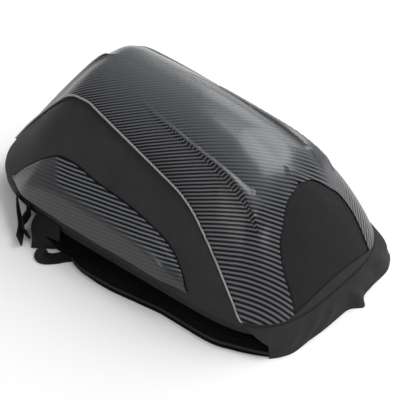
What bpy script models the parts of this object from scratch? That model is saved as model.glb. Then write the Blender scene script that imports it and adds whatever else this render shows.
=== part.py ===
"""Hard shell backpack lying on its back panel: a moulded shell over fabric sides, padded straps underneath.

Metres, +Z up. The top end of the pack, its nose, points to +X and the bottom end, its tail, to -X.
The wearer's right side faces -Y. The origin is on the floor under the middle of the pack's box.
"""

import bisect
import math

import bmesh
import bpy
from mathutils import Vector

# Rim of the shell in plan, on either side of the waist, the station where the pack is widest
TAIL_REACH = 0.286
NOSE_REACH = 0.2355
RIM_WIDTH = 0.279
# Height of the rim over the floor, and of the shell's crown over the rim
RIM_HEIGHT = 0.0405
SHELL_HEIGHT = 0.197
# How far the tail and the nose lean in, from the rim to the ends of the crown
TAIL_RUN = 0.1275
NOSE_RUN = 0.0855

SHELL_WALL = 0.0026
FABRIC_WALL = 0.0020
SEAM_GAP = 0.0006
FIT_GAP = 0.0003

FIN_RISE = 0.0070
# How much of the fin's width its two slopes take
FIN_EDGE = 0.35
ARCH_WIDTH = 0.158
ARCH_HEIGHT = 0.148

INSET_THICKNESS = 0.0022
INSET_PAD_RISE = 0.0110
PIPING_DIAMETER = 0.0028

GUSSET_HEIGHT = 0.0190
GUSSET_WALL = 0.0026
BACK_PANEL_THICKNESS = 0.0165
# Pad across the small of the back, under the back panel: middle, half length, half width and height
LUMBAR_X = -0.112
LUMBAR_REACH = 0.062
LUMBAR_HALF_WIDTH = 0.131
LUMBAR_THICKNESS = 0.0183
# How much of its thickness a pad loses on either side at its edge
EDGE_PINCH = 0.2
STRAP_WIDTH = 0.066
STRAP_THICKNESS = 0.0185
STRAP_OVERHANG = 0.029
# Share of the strap's thickness at its long edges, and of the rest at its two ends, and how long it tapers there
STRAP_EDGE = 0.25
STRAP_END = 0.35
STRAP_TAPER = 0.08
# Where the strap lifts off the floor over its webbing, and over how much of its length
STRAP_LIFT = (0.80, 0.08)
# How far the yoke stands out from the rim on the floor, in the middle of the nose and at its corners
YOKE_BULGE = 0.0130
YOKE_CORNER_BULGE = 0.0190
YOKE_WALL = 0.0060
YOKE_CLEARANCE = 0.0040
# Where the bulge grows towards the corner, and over how much of the yoke's half length
YOKE_CORNER = (0.5, 0.3)
WEBBING_WIDTH = 0.020
WEBBING_THICKNESS = 0.0018
# How far the loose webbing reaches out from the rim on the floor
WEBBING_REACH = 0.044
FLAP_THICKNESS = 0.0024

# The waist stands off the origin so that the yoke and the tail reach equally far
WAIST_X = (TAIL_REACH - NOSE_REACH - YOKE_BULGE) / 2

# Squareness of the rim at each end, along X and along Y: 2 is an ellipse, more is squarer
RIM_SQUARENESS = {"tail": (4.5, 3.4), "nose": (6.0, 3.3)}
# Shape of the climb from the rim to the crown: fullness inwards and upwards
CLIMB_SHAPE = {"side": (2.25, 1.1), "tail": (1.15, 1.0), "nose": (1.3, 1.2)}
# Columns round half the rim, the same for the pieces that fit in each other there
RIM_COLUMNS = 40
# How much of the plan angle's cosine belongs to the straight sides, and how fast the ends take over
END_STARTS, END_SPREAD = 0.35, 0.60

# Share of the crown's length from the tail, share of the shell's height
CROWN = [(0.0, 0.958), (0.05, 0.980), (0.14, 0.994), (0.25, 0.998), (0.5, 1.0), (0.75, 0.947), (1.0, 0.84)]

# Seam between the shell and a side panel: share of the way round the rim from nose to tail, share of the climb
SHELL_SEAM = [
    (0.0, 0.0), (0.210, 0.0), (0.232, 0.188), (0.258, 0.308), (0.288, 0.396), (0.322, 0.467), (0.362, 0.529),
    (0.405, 0.567), (0.468, 0.596), (0.605, 0.658), (0.680, 0.688), (0.718, 0.700), (0.753, 0.688),
    (0.790, 0.646), (0.825, 0.571), (0.868, 0.479), (0.905, 0.304), (0.918, 0.175), (0.925, 0.0), (1.0, 0.0),
]
# Carbon-look inset low on the side: share round the rim,
# climb of its lower edge, of its pad's top and of its upper edge
INSET = [
    (0.337, 0.095, 0.100, 0.110), (0.358, 0.080, 0.160, 0.196), (0.390, 0.070, 0.210, 0.275),
    (0.418, 0.065, 0.235, 0.308), (0.475, 0.060, 0.262, 0.350), (0.530, 0.050, 0.275, 0.379),
    (0.603, 0.040, 0.275, 0.404), (0.665, 0.035, 0.268, 0.433), (0.698, 0.035, 0.240, 0.428),
    (0.737, 0.040, 0.190, 0.371), (0.757, 0.050, 0.150, 0.317), (0.778, 0.070, 0.120, 0.246),
    (0.798, 0.095, 0.105, 0.133),
]
# How soon the pad has risen: from its lower edge, as a share of its height, and from its ends, of its length
INSET_SLOPES = (0.12, 0.14)
# Pointed arch of the fabric nose panel: share of its height, share of its half width
ARCH = [
    (0.0, 1.0), (0.14, 0.975), (0.37, 0.94), (0.54, 0.86), (0.66, 0.76), (0.76, 0.60), (0.87, 0.42), (0.94, 0.25),
    (1.0, 0.0),
]
# Moulded fin on each side of the crown: share of the body's length from the tail,
# shares of the half width at its inner and outer edge, share of its rise
FIN = [
    (0.40, 0.26, 0.30, 0.0), (0.50, 0.28, 0.36, 0.30), (0.62, 0.30, 0.41, 0.65), (0.72, 0.33, 0.44, 0.90),
    (0.80, 0.345, 0.49, 1.0), (0.845, 0.365, 0.54, 0.95), (0.872, 0.385, 0.56, 0.0),
]
# Padded strap beside the rim: share of its length from the yoke, share of the overhang, share of its width
STRAP = [
    (0.0, 0.55, 0.80), (0.12, 0.92, 0.95), (0.30, 1.0, 1.0), (0.60, 1.05, 1.0), (0.85, 1.02, 0.86),
    (0.96, 0.78, 0.60), (1.0, 0.58, 0.34),
]
# Loose webbing: share of its length, share of the way round the rim, shares of its reach and of the rim's height,
# and how far it has turned from lying flat to standing on edge
STRAP_WEBBING = [
    (0.0, 0.5995, 0.15, 0.03, 0.0), (0.25, 0.6087, 0.41, 0.03, 0.0), (0.50, 0.6153, 0.70, 0.03, 0.0),
    (0.72, 0.6255, 0.92, 0.13, 0.25), (0.88, 0.6340, 0.88, 0.23, 0.50), (1.0, 0.6415, 0.72, 0.23, 0.50),
]
CORNER_WEBBING = [
    (0.0, 0.7717, 0.05, 0.72, 1.0), (0.35, 0.7296, 0.36, 0.45, 0.8), (0.65, 0.7005, 0.62, 0.275, 0.8),
    (1.0, 0.673, 1.0, 0.275, 0.8),
]
TAIL_WEBBING = [
    (0.0, 0.7400, 0.045, 0.72, 1.0), (0.15, 0.7300, 0.06, 0.68, 1.0), (0.50, 0.7050, 0.50, 0.45, 1.0),
    (0.75, 0.6924, 0.61, 0.275, 0.8), (1.0, 0.6815, 0.62, 0.275, 0.8),
]
# Fabric flap hanging from the rim: share of the way down, share round the rim and of the reach at its tail edge,
# the same at its nose edge, share of the rim's height
FLAP = [
    (0.0, 0.7094, 0.02, 0.650, 0.02, 0.74), (0.4, 0.6969, 0.34, 0.636, 0.20, 0.44),
    (0.75, 0.675, 0.57, 0.6325, 0.27, 0.20), (1.0, 0.6605, 0.78, 0.6392, 0.36, 0.0),
]
# Which way a flap faces
FLAP_FACING = (0.0, -0.64, 0.77)
# How far a side panel runs on under the shell's edge, and how soon it has dived there, as shares of the climb
SEAM_TUCK, SEAM_DIVE = 0.025, 0.012
SIDE_ROWS = 5
# How far a side panel runs on past both ends of the seam, as a share of the way round
SIDE_TUCK = 0.005
# Columns of the shell and of the side panels, as a share of the way round
COLUMN_SPACING = 0.03
# Rows of the shell between its seam and its crown
SHELL_ROWS = 10
# Stretch of the rim that the piping follows the seam along
PIPING_SPAN = (0.2135, 0.9235)
# Half the nose panel's stretch of the rim, and its share of the climb
NOSE_PANEL_SPAN, NOSE_PANEL_CLIMB = 0.165, 0.80
# Stretch of the rim that the strap lies along, and the stretch that the yoke covers
STRAP_SPAN = (0.1835, 0.605)
YOKE_SPAN = 0.2118
# How much sooner the yoke ends under its slanted corner, where the strap comes out
YOKE_SLANT = 0.030


def along(table, place, column=1):
    """Value of a table's column at a place in its first column, on a smooth curve with no overshoot."""
    keys = [row[0] for row in table]
    if place <= keys[0]:
        return table[0][column]
    if place >= keys[-1]:
        return table[-1][column]
    i = bisect.bisect_right(keys, place) - 1

    def slope(j):
        if j in (0, len(table) - 1):
            return 0.0
        before = (table[j][column] - table[j - 1][column]) / (keys[j] - keys[j - 1])
        after = (table[j + 1][column] - table[j][column]) / (keys[j + 1] - keys[j])
        return 0.0 if before * after <= 0 else 2 * before * after / (before + after)

    span = keys[i + 1] - keys[i]
    t = (place - keys[i]) / span
    low, high = table[i][column], table[i + 1][column]
    rise = (high - low) * t * t * (3 - 2 * t)
    return low + rise + span * (slope(i) * t * (1 - t) ** 2 - slope(i + 1) * t * t * (1 - t))


def stations(table, spacing, least=2):
    """Places along a table's first column: every row's, and evenly spaced ones between them."""
    places = [table[0][0]]
    for before, after in zip(table, table[1:]):
        parts = max(least, math.ceil((after[0] - before[0]) / spacing))
        places += [before[0] + (after[0] - before[0]) * (i + 1) / parts for i in range(parts)]
    return places


def eased(t):
    t = min(max(t, 0.0), 1.0)
    return t * t * (3 - 2 * t)


def rim_at(angle, widen=0.0):
    """Rim in plan at an angle from the nose round the right side, moved outwards by widen."""
    c, s = math.cos(angle), math.sin(angle)
    end, reach = ("nose", NOSE_REACH) if c >= 0 else ("tail", TAIL_REACH)
    square_x, square_y = RIM_SQUARENESS[end]
    x = math.copysign((reach + widen) * abs(c) ** (2 / square_x), c)
    return x, (RIM_WIDTH / 2 + widen) * abs(s) ** (2 / square_y)


def rim_lengths():
    """Angles round half the rim and the distance walked at each."""
    steps = 400
    ease = [(i / steps) ** 3 / 2 for i in range(steps)]
    ease += [1 - e for e in reversed(ease)] + [1.0]
    angles = [math.pi / 2 * e for e in ease[:-1]] + [math.pi / 2 * (1 + e) for e in ease]
    angles = sorted(set(angles))
    walked = [0.0]
    for before, after in zip(angles, angles[1:]):
        walked.append(walked[-1] + math.dist(rim_at(before), rim_at(after)))
    return angles, walked


RIM_ANGLES, RIM_WALKED = rim_lengths()


def rim_angle(share):
    """Plan angle at a share of the way round the rim, from nose to tail."""
    place = min(max(share, 0.0), 1.0) * RIM_WALKED[-1]
    i = min(max(bisect.bisect_right(RIM_WALKED, place) - 1, 0), len(RIM_WALKED) - 2)
    part = (place - RIM_WALKED[i]) / (RIM_WALKED[i + 1] - RIM_WALKED[i])
    return RIM_ANGLES[i] + part * (RIM_ANGLES[i + 1] - RIM_ANGLES[i])


def fin_rise(x, y):
    """Height that the moulded fin adds at a place in plan."""
    place = (x - WAIST_X + TAIL_REACH) / (TAIL_REACH + NOSE_REACH)
    if not FIN[0][0] < place < FIN[-1][0]:
        return 0.0
    inner, outer, rise = (along(FIN, place, column) for column in (1, 2, 3))
    out = abs(y) / (RIM_WIDTH / 2)
    edge = FIN_EDGE * (outer - inner)
    return FIN_RISE * rise * eased((out - inner + edge) / (2 * edge)) * eased((outer + edge - out) / edge)


def hull(share, climb, fins=False):
    """Point of the outer form: share of the way round the rim on the right, share of the climb to the crown."""
    angle = rim_angle(share)
    x, y = rim_at(angle)
    length_share = (x + TAIL_REACH) / (TAIL_REACH + NOSE_REACH)
    crown_tail, crown_nose = TAIL_RUN - TAIL_REACH, NOSE_REACH - NOSE_RUN
    crown_x = crown_tail + length_share * (crown_nose - crown_tail)
    cosine = math.cos(angle)
    end = CLIMB_SHAPE["nose" if cosine >= 0 else "tail"]
    weight = eased((abs(cosine) - END_STARTS) / END_SPREAD)
    inward, upward = (s + (e - s) * weight for s, e in zip(CLIMB_SHAPE["side"], end))
    turn = climb * math.pi / 2
    gone = 1 - max(math.cos(turn), 0.0) ** (2 / inward)
    height = along(CROWN, length_share) * SHELL_HEIGHT * max(math.sin(turn), 0.0) ** (2 / upward)
    point = Vector((WAIST_X + x + (crown_x - x) * gone, -y * (1 - gone), RIM_HEIGHT + height))
    if fins:
        point.z += fin_rise(point.x, point.y)
    return point


def hull_out(share, climb):
    """Direction out of the form, at a right angle to it, and straight up along the crown."""
    if climb == 1.0:
        return Vector((0.0, 0.0, 1.0))
    step = 0.004
    low, high = max(climb - step, 0.001), min(climb + step, 0.97)
    near, far = max(share - step, 0.0), min(share + step, 1.0)
    middle = min(max(climb, low), high)
    out = (hull(far, middle) - hull(near, middle)).cross(hull(share, high) - hull(share, low))
    if share in (0.0, 1.0) or climb >= 0.9:
        out.y = 0.0
    return -out.normalized() if out.dot(hull(share, middle) - Vector((WAIST_X, 0, 0))) < 0 else out.normalized()


def off_hull(share, climb, distance, fins=False):
    """Point off the form by a distance, and never under the rim."""
    point = hull(share, climb, fins) + hull_out(share, climb) * distance
    point.z = max(point.z, RIM_HEIGHT)
    return point


def finish(name, colour, roughness, metallic=0.0):
    material = bpy.data.materials.new(name)
    material.use_nodes = True
    shader = material.node_tree.nodes["Principled BSDF"]
    shader.inputs["Base Color"].default_value = (*colour, 1.0)
    shader.inputs["Roughness"].default_value = roughness
    shader.inputs["Metallic"].default_value = metallic
    return material


def new_object(name, bm, material, collection):
    bmesh.ops.recalc_face_normals(bm, faces=bm.faces[:])
    if bm.calc_volume(signed=True) < 0:
        bmesh.ops.reverse_faces(bm, faces=bm.faces[:])
    mesh = bpy.data.meshes.new(name)
    bm.to_mesh(mesh)
    bm.free()
    mesh.materials.append(material)
    mesh.shade_smooth()
    mesh.set_sharp_from_angle(angle=math.radians(35))
    obj = bpy.data.objects.new(name, mesh)
    collection.objects.link(obj)
    return obj


def slab(columns, rows, inner, outer):
    """Closed solid between two surfaces: a grid laid on the inner one and extruded to the outer one."""
    bm = bmesh.new()
    bmesh.ops.create_grid(bm, x_segments=columns, y_segments=rows, size=0.5)
    across = bm.verts.layers.float.new("across")
    up = bm.verts.layers.float.new("up")
    for vert in bm.verts:
        vert[across], vert[up] = vert.co.x + 0.5, vert.co.y + 0.5
    grown = bmesh.ops.extrude_face_region(bm, geom=bm.faces[:], use_keep_orig=True)["geom"]
    lifted = {item for item in grown if isinstance(item, bmesh.types.BMVert)}
    for vert in bm.verts:
        vert.co = (outer if vert in lifted else inner)(vert[across], vert[up])
    bmesh.ops.remove_doubles(bm, verts=bm.verts[:], dist=1e-6)
    return bm


def open_at_plane(bm):
    """Takes out the faces that lie in the pack's middle plane, so that a mirror closes the solid."""
    flat = [face for face in bm.faces if all(abs(vert.co.y) < 1e-6 for vert in face.verts)]
    bmesh.ops.delete(bm, geom=flat, context="FACES")


def whole(obj):
    mirror = obj.modifiers.new("other_side", "MIRROR")
    mirror.use_axis = (False, True, False)
    mirror.use_mirror_merge = True
    mirror.use_clip = True
    mirror.merge_threshold = 0.0001
    return obj


def both_sides(name, make, material, collection):
    """A right piece and its mirrored twin on the left."""
    right = new_object(f"{name}_right", make(), material, collection)
    bm = make()
    for vert in bm.verts:
        vert.co.y = -vert.co.y
    left = new_object(f"{name}_left", bm, material, collection)
    return right, left


def arch_outline(margin):
    """Right half of the nose panel's pointed arch, from the rim to the point, as places in plan and height."""
    steps = 14
    half = ARCH_WIDTH / 2 + margin
    points = [(half, -0.02)]
    for i in range(steps + 1):
        share = i / steps
        points.append((half * along(ARCH, share), (ARCH_HEIGHT + margin) * share))
    return [(-y, RIM_HEIGHT + z) for y, z in points]


def arch_prism(name, margin, collection):
    """Solid along X with the arch for its outline, hidden, for cutting the nose."""
    right = arch_outline(margin)
    outline = right + [(-y, z) for y, z in reversed(right[:-1])]
    bm = bmesh.new()
    start = WAIST_X + NOSE_REACH - NOSE_RUN * 1.15
    verts = [bm.verts.new((start, y, z)) for y, z in outline]
    face = bm.faces.new(verts)
    grown = bmesh.ops.extrude_face_region(bm, geom=[face], use_keep_orig=True)["geom"]
    moved = [item for item in grown if isinstance(item, bmesh.types.BMVert)]
    bmesh.ops.translate(bm, verts=moved, vec=(2 * NOSE_RUN, 0, 0))
    cutter = new_object(name, bm, finish(name, (0.5, 0.5, 0.5), 0.5), collection)
    cutter.hide_render = True
    cutter.display_type = "WIRE"
    return cutter


def cut(obj, cutter, operation):
    boolean = obj.modifiers.new(operation.lower(), "BOOLEAN")
    boolean.object = cutter
    boolean.operation = operation


def shell(material, collection, cutters):
    """Moulded shell with its fins: half of it is laid over the form and mirrored, then the nose is cut open."""
    shares = stations(SHELL_SEAM, COLUMN_SPACING)

    def place(a, up, distance):
        share = shares[round(a * (len(shares) - 1))]
        seam = along(SHELL_SEAM, share)
        point = off_hull(share, seam + (1 - seam) * up, distance, fins=True)
        if up == 1.0 or a in (0.0, 1.0):
            point.y = 0.0
        return point

    columns = len(shares) - 1
    bm = slab(columns, SHELL_ROWS, lambda a, u: place(a, u, -SHELL_WALL), lambda a, u: place(a, u, 0.0))
    open_at_plane(bm)
    obj = whole(new_object("shell", bm, material, collection))
    cut(obj, arch_prism("arch_cutter", SEAM_GAP, cutters), "DIFFERENCE")
    return obj


def nose_panel(material, collection):
    """Fabric panel behind the arch in the nose, tucked under the shell all round."""
    sunk = SHELL_WALL + 4 * FIT_GAP

    def place(a, u, distance):
        point = off_hull(NOSE_PANEL_SPAN * a, NOSE_PANEL_CLIMB * u, distance)
        if a == 0.0:
            point.y = 0.0
        return point

    bm = slab(8, 9, lambda a, u: place(a, u, -sunk - FABRIC_WALL), lambda a, u: place(a, u, -sunk))
    open_at_plane(bm)
    return whole(new_object("nose_panel", bm, material, collection))


def side_panel():
    """Fabric side between the rim and the shell's seam, tucked under the shell's edge and pointed at both ends."""
    shares = stations([row for row in SHELL_SEAM if row[0] not in (0.0, 1.0)], COLUMN_SPACING)
    shares = [shares[0] - SIDE_TUCK, *shares, shares[-1] + SIDE_TUCK]

    def place(a, u, distance):
        share = shares[round(a * (len(shares) - 1))]
        seam = along(SHELL_SEAM, share)
        visible = max(seam - SEAM_DIVE, 0.0)
        row = u * SIDE_ROWS
        under_edge = max(row / 2 - SIDE_ROWS / 2 + 1, 0.0)
        climb = visible * min(row / (SIDE_ROWS - 2), 1.0) + (seam + SEAM_TUCK - visible) * under_edge
        sunk = (SHELL_WALL + 3 * FIT_GAP) * min(max(row - SIDE_ROWS + 3, 0.0), 1.0)
        return off_hull(share, climb, distance - sunk)

    return slab(len(shares) - 1, SIDE_ROWS, lambda a, u: place(a, u, -FABRIC_WALL), lambda a, u: place(a, u, 0.0))


def side_inset():
    """Carbon-look inset on the side panel, thicker over its pad."""
    first, last = INSET[0][0], INSET[-1][0]

    def place(a, u, outside):
        share = first + (last - first) * a
        low, pad, high = (along(INSET, share, column) for column in (1, 2, 3))
        climb = low + (high - low) * u
        shelf = eased((high - climb) / (high - pad))
        edges = eased(u / INSET_SLOPES[0]) * eased(min(a, 1 - a) / INSET_SLOPES[1])
        rise = INSET_THICKNESS + INSET_PAD_RISE * shelf * edges
        return off_hull(share, climb, FIT_GAP + (rise if outside else 0.0))

    return slab(22, 5, lambda a, u: place(a, u, False), lambda a, u: place(a, u, True))


def piping(name, side, material, collection):
    """Reflective piping along the seam between the shell and the side panel."""
    curve = bpy.data.curves.new(name, "CURVE")
    curve.dimensions = "3D"
    curve.bevel_depth = PIPING_DIAMETER / 2
    curve.bevel_resolution = 1
    curve.use_fill_caps = True
    steps = 26
    first, last = PIPING_SPAN
    spline = curve.splines.new("POLY")
    spline.points.add(steps)
    for i, point in enumerate(spline.points):
        share = first + (last - first) * i / steps
        place = off_hull(share, along(SHELL_SEAM, share), PIPING_DIAMETER / 2 + 2 * FIT_GAP)
        point.co = (place.x, side * place.y, place.z, 1.0)
    curve.materials.append(material)
    obj = bpy.data.objects.new(name, curve)
    collection.objects.link(obj)
    return obj


def gusset(material, collection):
    """Fabric band that carries the rim, closed all the way round."""

    def place(a, u, inset):
        x, y = rim_at(rim_angle(a), -inset)
        height = RIM_HEIGHT - FIT_GAP - GUSSET_HEIGHT * (1 - u)
        return Vector((WAIST_X + x, 0.0 if a in (0.0, 1.0) else -y, height))

    bm = slab(RIM_COLUMNS, 1, lambda a, u: place(a, u, GUSSET_WALL), lambda a, u: place(a, u, 0.0))
    open_at_plane(bm)
    return whole(new_object("gusset", bm, material, collection))


def back_panel(material, collection):
    """Padded panel that closes the back, inside the gusset."""
    inset = GUSSET_WALL + 2 * FIT_GAP
    low = STRAP_THICKNESS + FIT_GAP

    def place(a, u, height):
        x, y = rim_at(rim_angle(a), -inset)
        middle_x = x * (1 - NOSE_RUN / NOSE_REACH)
        pinch = EDGE_PINCH if u == 1.0 else 0.0
        z = low + BACK_PANEL_THICKNESS * (height + pinch * (1 - 2 * height))
        return Vector((WAIST_X + middle_x + (x - middle_x) * u, 0.0 if a in (0.0, 1.0) or u == 0.0 else -y * u, z))

    bm = slab(RIM_COLUMNS, 3, lambda a, u: place(a, u, 0.0), lambda a, u: place(a, u, 1.0))
    open_at_plane(bm)
    return whole(new_object("back_panel", bm, material, collection))


def lumbar_pad(material, collection):
    """Pad across the small of the back, from the back panel down to the floor."""

    def place(a, u, height):
        turn = math.pi * a
        c, s = math.cos(turn), math.sin(turn)
        x = LUMBAR_X + LUMBAR_REACH * u * math.copysign(abs(c) ** 0.5, c)
        y = LUMBAR_HALF_WIDTH * u * max(s, 0.0) ** 0.5
        pinch = EDGE_PINCH if u == 1.0 else 0.0
        z = LUMBAR_THICKNESS * (height + pinch * (1 - 2 * height))
        return Vector((x, 0.0 if a in (0.0, 1.0) or u == 0.0 else -y, z))

    bm = slab(12, 3, lambda a, u: place(a, u, 0.0), lambda a, u: place(a, u, 1.0))
    open_at_plane(bm)
    return whole(new_object("lumbar_pad", bm, material, collection))


def strap_line(share):
    """Outer edge of the padded strap in plan and its width, at a share of its length from the yoke."""
    place = STRAP_SPAN[0] + (STRAP_SPAN[1] - STRAP_SPAN[0]) * share
    x, y = rim_at(rim_angle(place))
    return WAIST_X + x, y + STRAP_OVERHANG * along(STRAP, share), STRAP_WIDTH * along(STRAP, share, 2)


def shoulder_strap():
    """Padded strap lying flat on the floor, half of it under the pack."""

    def place(a, u, upper):
        x, edge, width = strap_line(a)
        round_off = (1 - abs(2 * u - 1) ** 5) ** 0.5
        end = STRAP_END + (1 - STRAP_END) * min(a / STRAP_TAPER, (1 - a) / STRAP_TAPER, 1.0)
        lift = (WEBBING_THICKNESS + 3 * FIT_GAP) * eased((a - STRAP_LIFT[0]) / STRAP_LIFT[1])
        height = STRAP_THICKNESS * (STRAP_EDGE + (1 - STRAP_EDGE) * round_off * end) if upper else lift
        return Vector((x, -(edge - width * u), height))

    return slab(14, 8, lambda a, u: place(a, u, False), lambda a, u: place(a, u, True))


def yoke(material, collection):
    """Soft band round the nose end, from the rim down to the floor, that the straps grow out of."""

    def place(a, u, outside):
        share = (YOKE_SPAN - YOKE_SLANT * min(2 - 2 * u, 1.0)) * a
        bulge = YOKE_BULGE + (YOKE_CORNER_BULGE - YOKE_BULGE) * eased((a - YOKE_CORNER[0]) / YOKE_CORNER[1])
        inner = 2 * FIT_GAP
        wall = YOKE_WALL * (1 - 0.75 * u ** 3) + (bulge - YOKE_WALL - inner) * (1 - u) ** 0.7
        x, y = rim_at(rim_angle(share), inner + (wall if outside else 0.0))
        return Vector((WAIST_X + x, 0.0 if a == 0.0 else -y, (RIM_HEIGHT - YOKE_CLEARANCE) * u))

    bm = slab(18, 4, lambda a, u: place(a, u, False), lambda a, u: place(a, u, True))
    open_at_plane(bm)
    return whole(new_object("yoke", bm, material, collection))


def beside_rim(share, out, height):
    """Place outside the rim on the right: share of the way round, of the webbing's reach and of the rim's height."""
    x, y = rim_at(rim_angle(share), WEBBING_REACH * out)
    return Vector((WAIST_X + x, -y, RIM_HEIGHT * height))


def loose_webbing(route):
    """Strip of webbing along a route, turning from flat to on edge as the route says."""

    def middle(a):
        return beside_rim(*(along(route, a, column) for column in (1, 2, 3)))

    def place(a, u, side):
        ahead = (middle(min(a + 0.02, 1.0)) - middle(max(a - 0.02, 0.0))).normalized()
        level = ahead.cross(Vector((0.0, 0.0, 1.0))).normalized()
        turn = along(route, a, 4) * math.pi / 2
        across = level * math.cos(turn) + level.cross(ahead) * math.sin(turn)
        face = across.cross(ahead)
        return middle(a) + across * WEBBING_WIDTH * (u - 0.5) + face * WEBBING_THICKNESS * side

    return slab(12, 1, lambda a, u: place(a, u, -0.5), lambda a, u: place(a, u, 0.5))


def side_flap():
    """Fabric flap that hangs from the rim and slopes out to the floor."""
    thickness = Vector(FLAP_FACING) * FLAP_THICKNESS

    def place(a, u, thick):
        tail = beside_rim(along(FLAP, u, 1), along(FLAP, u, 2), along(FLAP, u, 5))
        nose = beside_rim(along(FLAP, u, 3), along(FLAP, u, 4), along(FLAP, u, 5))
        return tail.lerp(nose, a) + thickness * thick

    return slab(4, 6, lambda a, u: place(a, u, 0.0), lambda a, u: place(a, u, 1.0))


def main():
    for obj in list(bpy.data.objects):
        bpy.data.objects.remove(obj, do_unlink=True)
    parts = bpy.data.collections.new("hard_shell_backpack")
    cutters = bpy.data.collections.new("cutters")
    for collection in (parts, cutters):
        bpy.context.scene.collection.children.link(collection)

    carbon = finish("carbon_film", (0.045, 0.046, 0.050), 0.32)
    fabric = finish("coated_fabric", (0.030, 0.030, 0.032), 0.62)
    padding = finish("padded_mesh", (0.016, 0.016, 0.017), 0.85)
    reflective = finish("reflective_piping", (0.36, 0.37, 0.38), 0.45)
    webbing = finish("webbing", (0.020, 0.020, 0.021), 0.75)

    shell(carbon, parts, cutters)
    nose_panel(fabric, parts)
    both_sides("side_panel", side_panel, fabric, parts)
    both_sides("side_inset", side_inset, carbon, parts)
    for name, side in (("piping_right", 1), ("piping_left", -1)):
        piping(name, side, reflective, parts)
    gusset(fabric, parts)
    back_panel(padding, parts)
    lumbar_pad(padding, parts)
    both_sides("shoulder_strap", shoulder_strap, padding, parts)
    yoke(fabric, parts)
    for name, route in (("strap", STRAP_WEBBING), ("corner", CORNER_WEBBING), ("tail", TAIL_WEBBING)):
        both_sides(f"{name}_webbing", lambda: loose_webbing(route), webbing, parts)
    both_sides("side_flap", side_flap, fabric, parts)


main()
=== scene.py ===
"""Hard shell backpack at rest on its straps: the looks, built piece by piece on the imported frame.

The top end of the pack, its nose, points to +X, and the wearer's right side faces -Y and the camera.
"""

import bisect
import math

import bmesh
import bpy
from mathutils import Matrix, Vector
from mathutils.bvhtree import BVHTree


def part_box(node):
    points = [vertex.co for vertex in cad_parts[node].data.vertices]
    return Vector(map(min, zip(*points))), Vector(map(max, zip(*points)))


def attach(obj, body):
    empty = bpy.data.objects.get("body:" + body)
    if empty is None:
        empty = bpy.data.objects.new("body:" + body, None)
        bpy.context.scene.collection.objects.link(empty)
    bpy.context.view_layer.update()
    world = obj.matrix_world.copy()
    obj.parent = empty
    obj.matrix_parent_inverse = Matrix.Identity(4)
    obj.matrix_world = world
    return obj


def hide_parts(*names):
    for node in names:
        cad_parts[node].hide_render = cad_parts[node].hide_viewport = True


bl_info = {
    "name": "Hard Shell Backpack",
    "version": (1, 0, 0),
    "blender": (4, 5, 0),
    "location": "View3D > Sidebar > Backpack",
    "description": "Builds a hard shell backpack with fabric sides and padded straps",
    "category": "Object",
}

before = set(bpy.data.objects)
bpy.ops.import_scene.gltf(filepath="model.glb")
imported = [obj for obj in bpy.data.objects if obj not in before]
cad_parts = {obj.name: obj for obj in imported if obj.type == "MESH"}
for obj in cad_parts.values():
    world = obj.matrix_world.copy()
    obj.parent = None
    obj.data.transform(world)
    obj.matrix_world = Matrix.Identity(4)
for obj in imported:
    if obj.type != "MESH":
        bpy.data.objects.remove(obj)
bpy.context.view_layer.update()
RIM_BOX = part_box("gusset")
SHELL_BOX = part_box("shell")
STRAP_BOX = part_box("shoulder_strap_right")

# The rim is the gusset's outline in plan, and the waist is where the pack is widest
WAIST_X = 0.01875
RIM_HEIGHT = SHELL_BOX[0].z
SHELL_HEIGHT = SHELL_BOX[1].z - RIM_HEIGHT
TAIL_REACH = WAIST_X - RIM_BOX[0].x
NOSE_REACH = RIM_BOX[1].x - WAIST_X
HALF_WIDTH = RIM_BOX[1].y
TAIL_RUN = 0.1235
NOSE_RUN = 0.0855
RIM_SQUARENESS = {"tail": (4.5, 3.4), "nose": (6.0, 3.3)}
CLIMB_SHAPE = {"side": (2.25, 1.1), "tail": (1.15, 1.0), "nose": (1.3, 1.2)}
END_STARTS, END_SPREAD = 0.35, 0.60
CROWN = [(0.0, 0.958), (0.05, 0.980), (0.14, 0.994), (0.25, 0.998), (0.5, 1.0), (0.75, 0.947), (1.0, 0.84)]

# Seam between shell and side: share of the way round the rim from nose to tail, share of the climb
SHELL_SEAM = [
    (0.0, 0.0), (0.210, 0.0), (0.232, 0.188), (0.258, 0.308), (0.288, 0.396), (0.322, 0.467), (0.362, 0.529),
    (0.405, 0.567), (0.468, 0.596), (0.605, 0.658), (0.680, 0.688), (0.718, 0.700), (0.753, 0.688),
    (0.790, 0.646), (0.825, 0.571), (0.868, 0.479), (0.905, 0.304), (0.918, 0.175), (0.925, 0.0), (1.0, 0.0),
]
# Inset: share round the rim, climb of its lower edge, of its pad's top and of its upper edge
INSET = [
    (0.337, 0.085, 0.090, 0.110), (0.352, 0.075, 0.150, 0.210), (0.385, 0.065, 0.200, 0.310),
    (0.418, 0.060, 0.230, 0.348), (0.475, 0.055, 0.255, 0.380), (0.530, 0.045, 0.265, 0.399),
    (0.603, 0.040, 0.270, 0.414), (0.665, 0.035, 0.262, 0.433), (0.698, 0.035, 0.240, 0.428),
    (0.737, 0.040, 0.190, 0.371), (0.757, 0.050, 0.150, 0.317), (0.778, 0.070, 0.120, 0.246),
    (0.798, 0.095, 0.105, 0.133),
]
# Rounding of the crown's tail end: place behind or ahead of that end, to the side, reach and lift
TAIL_TOP = [(0.0, 0.0, 0.012, -0.0028), (0.004, 0.030, 0.026, 0.0030), (0.313, 0.0, 0.010, -0.0018)]
# Pointed arch in the nose: share of its height, share of its half width
ARCH = [
    (0.0, 1.0), (0.14, 0.975), (0.37, 0.94), (0.54, 0.86), (0.66, 0.76), (0.76, 0.60), (0.87, 0.42), (0.94, 0.25),
    (1.0, 0.0),
]
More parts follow.
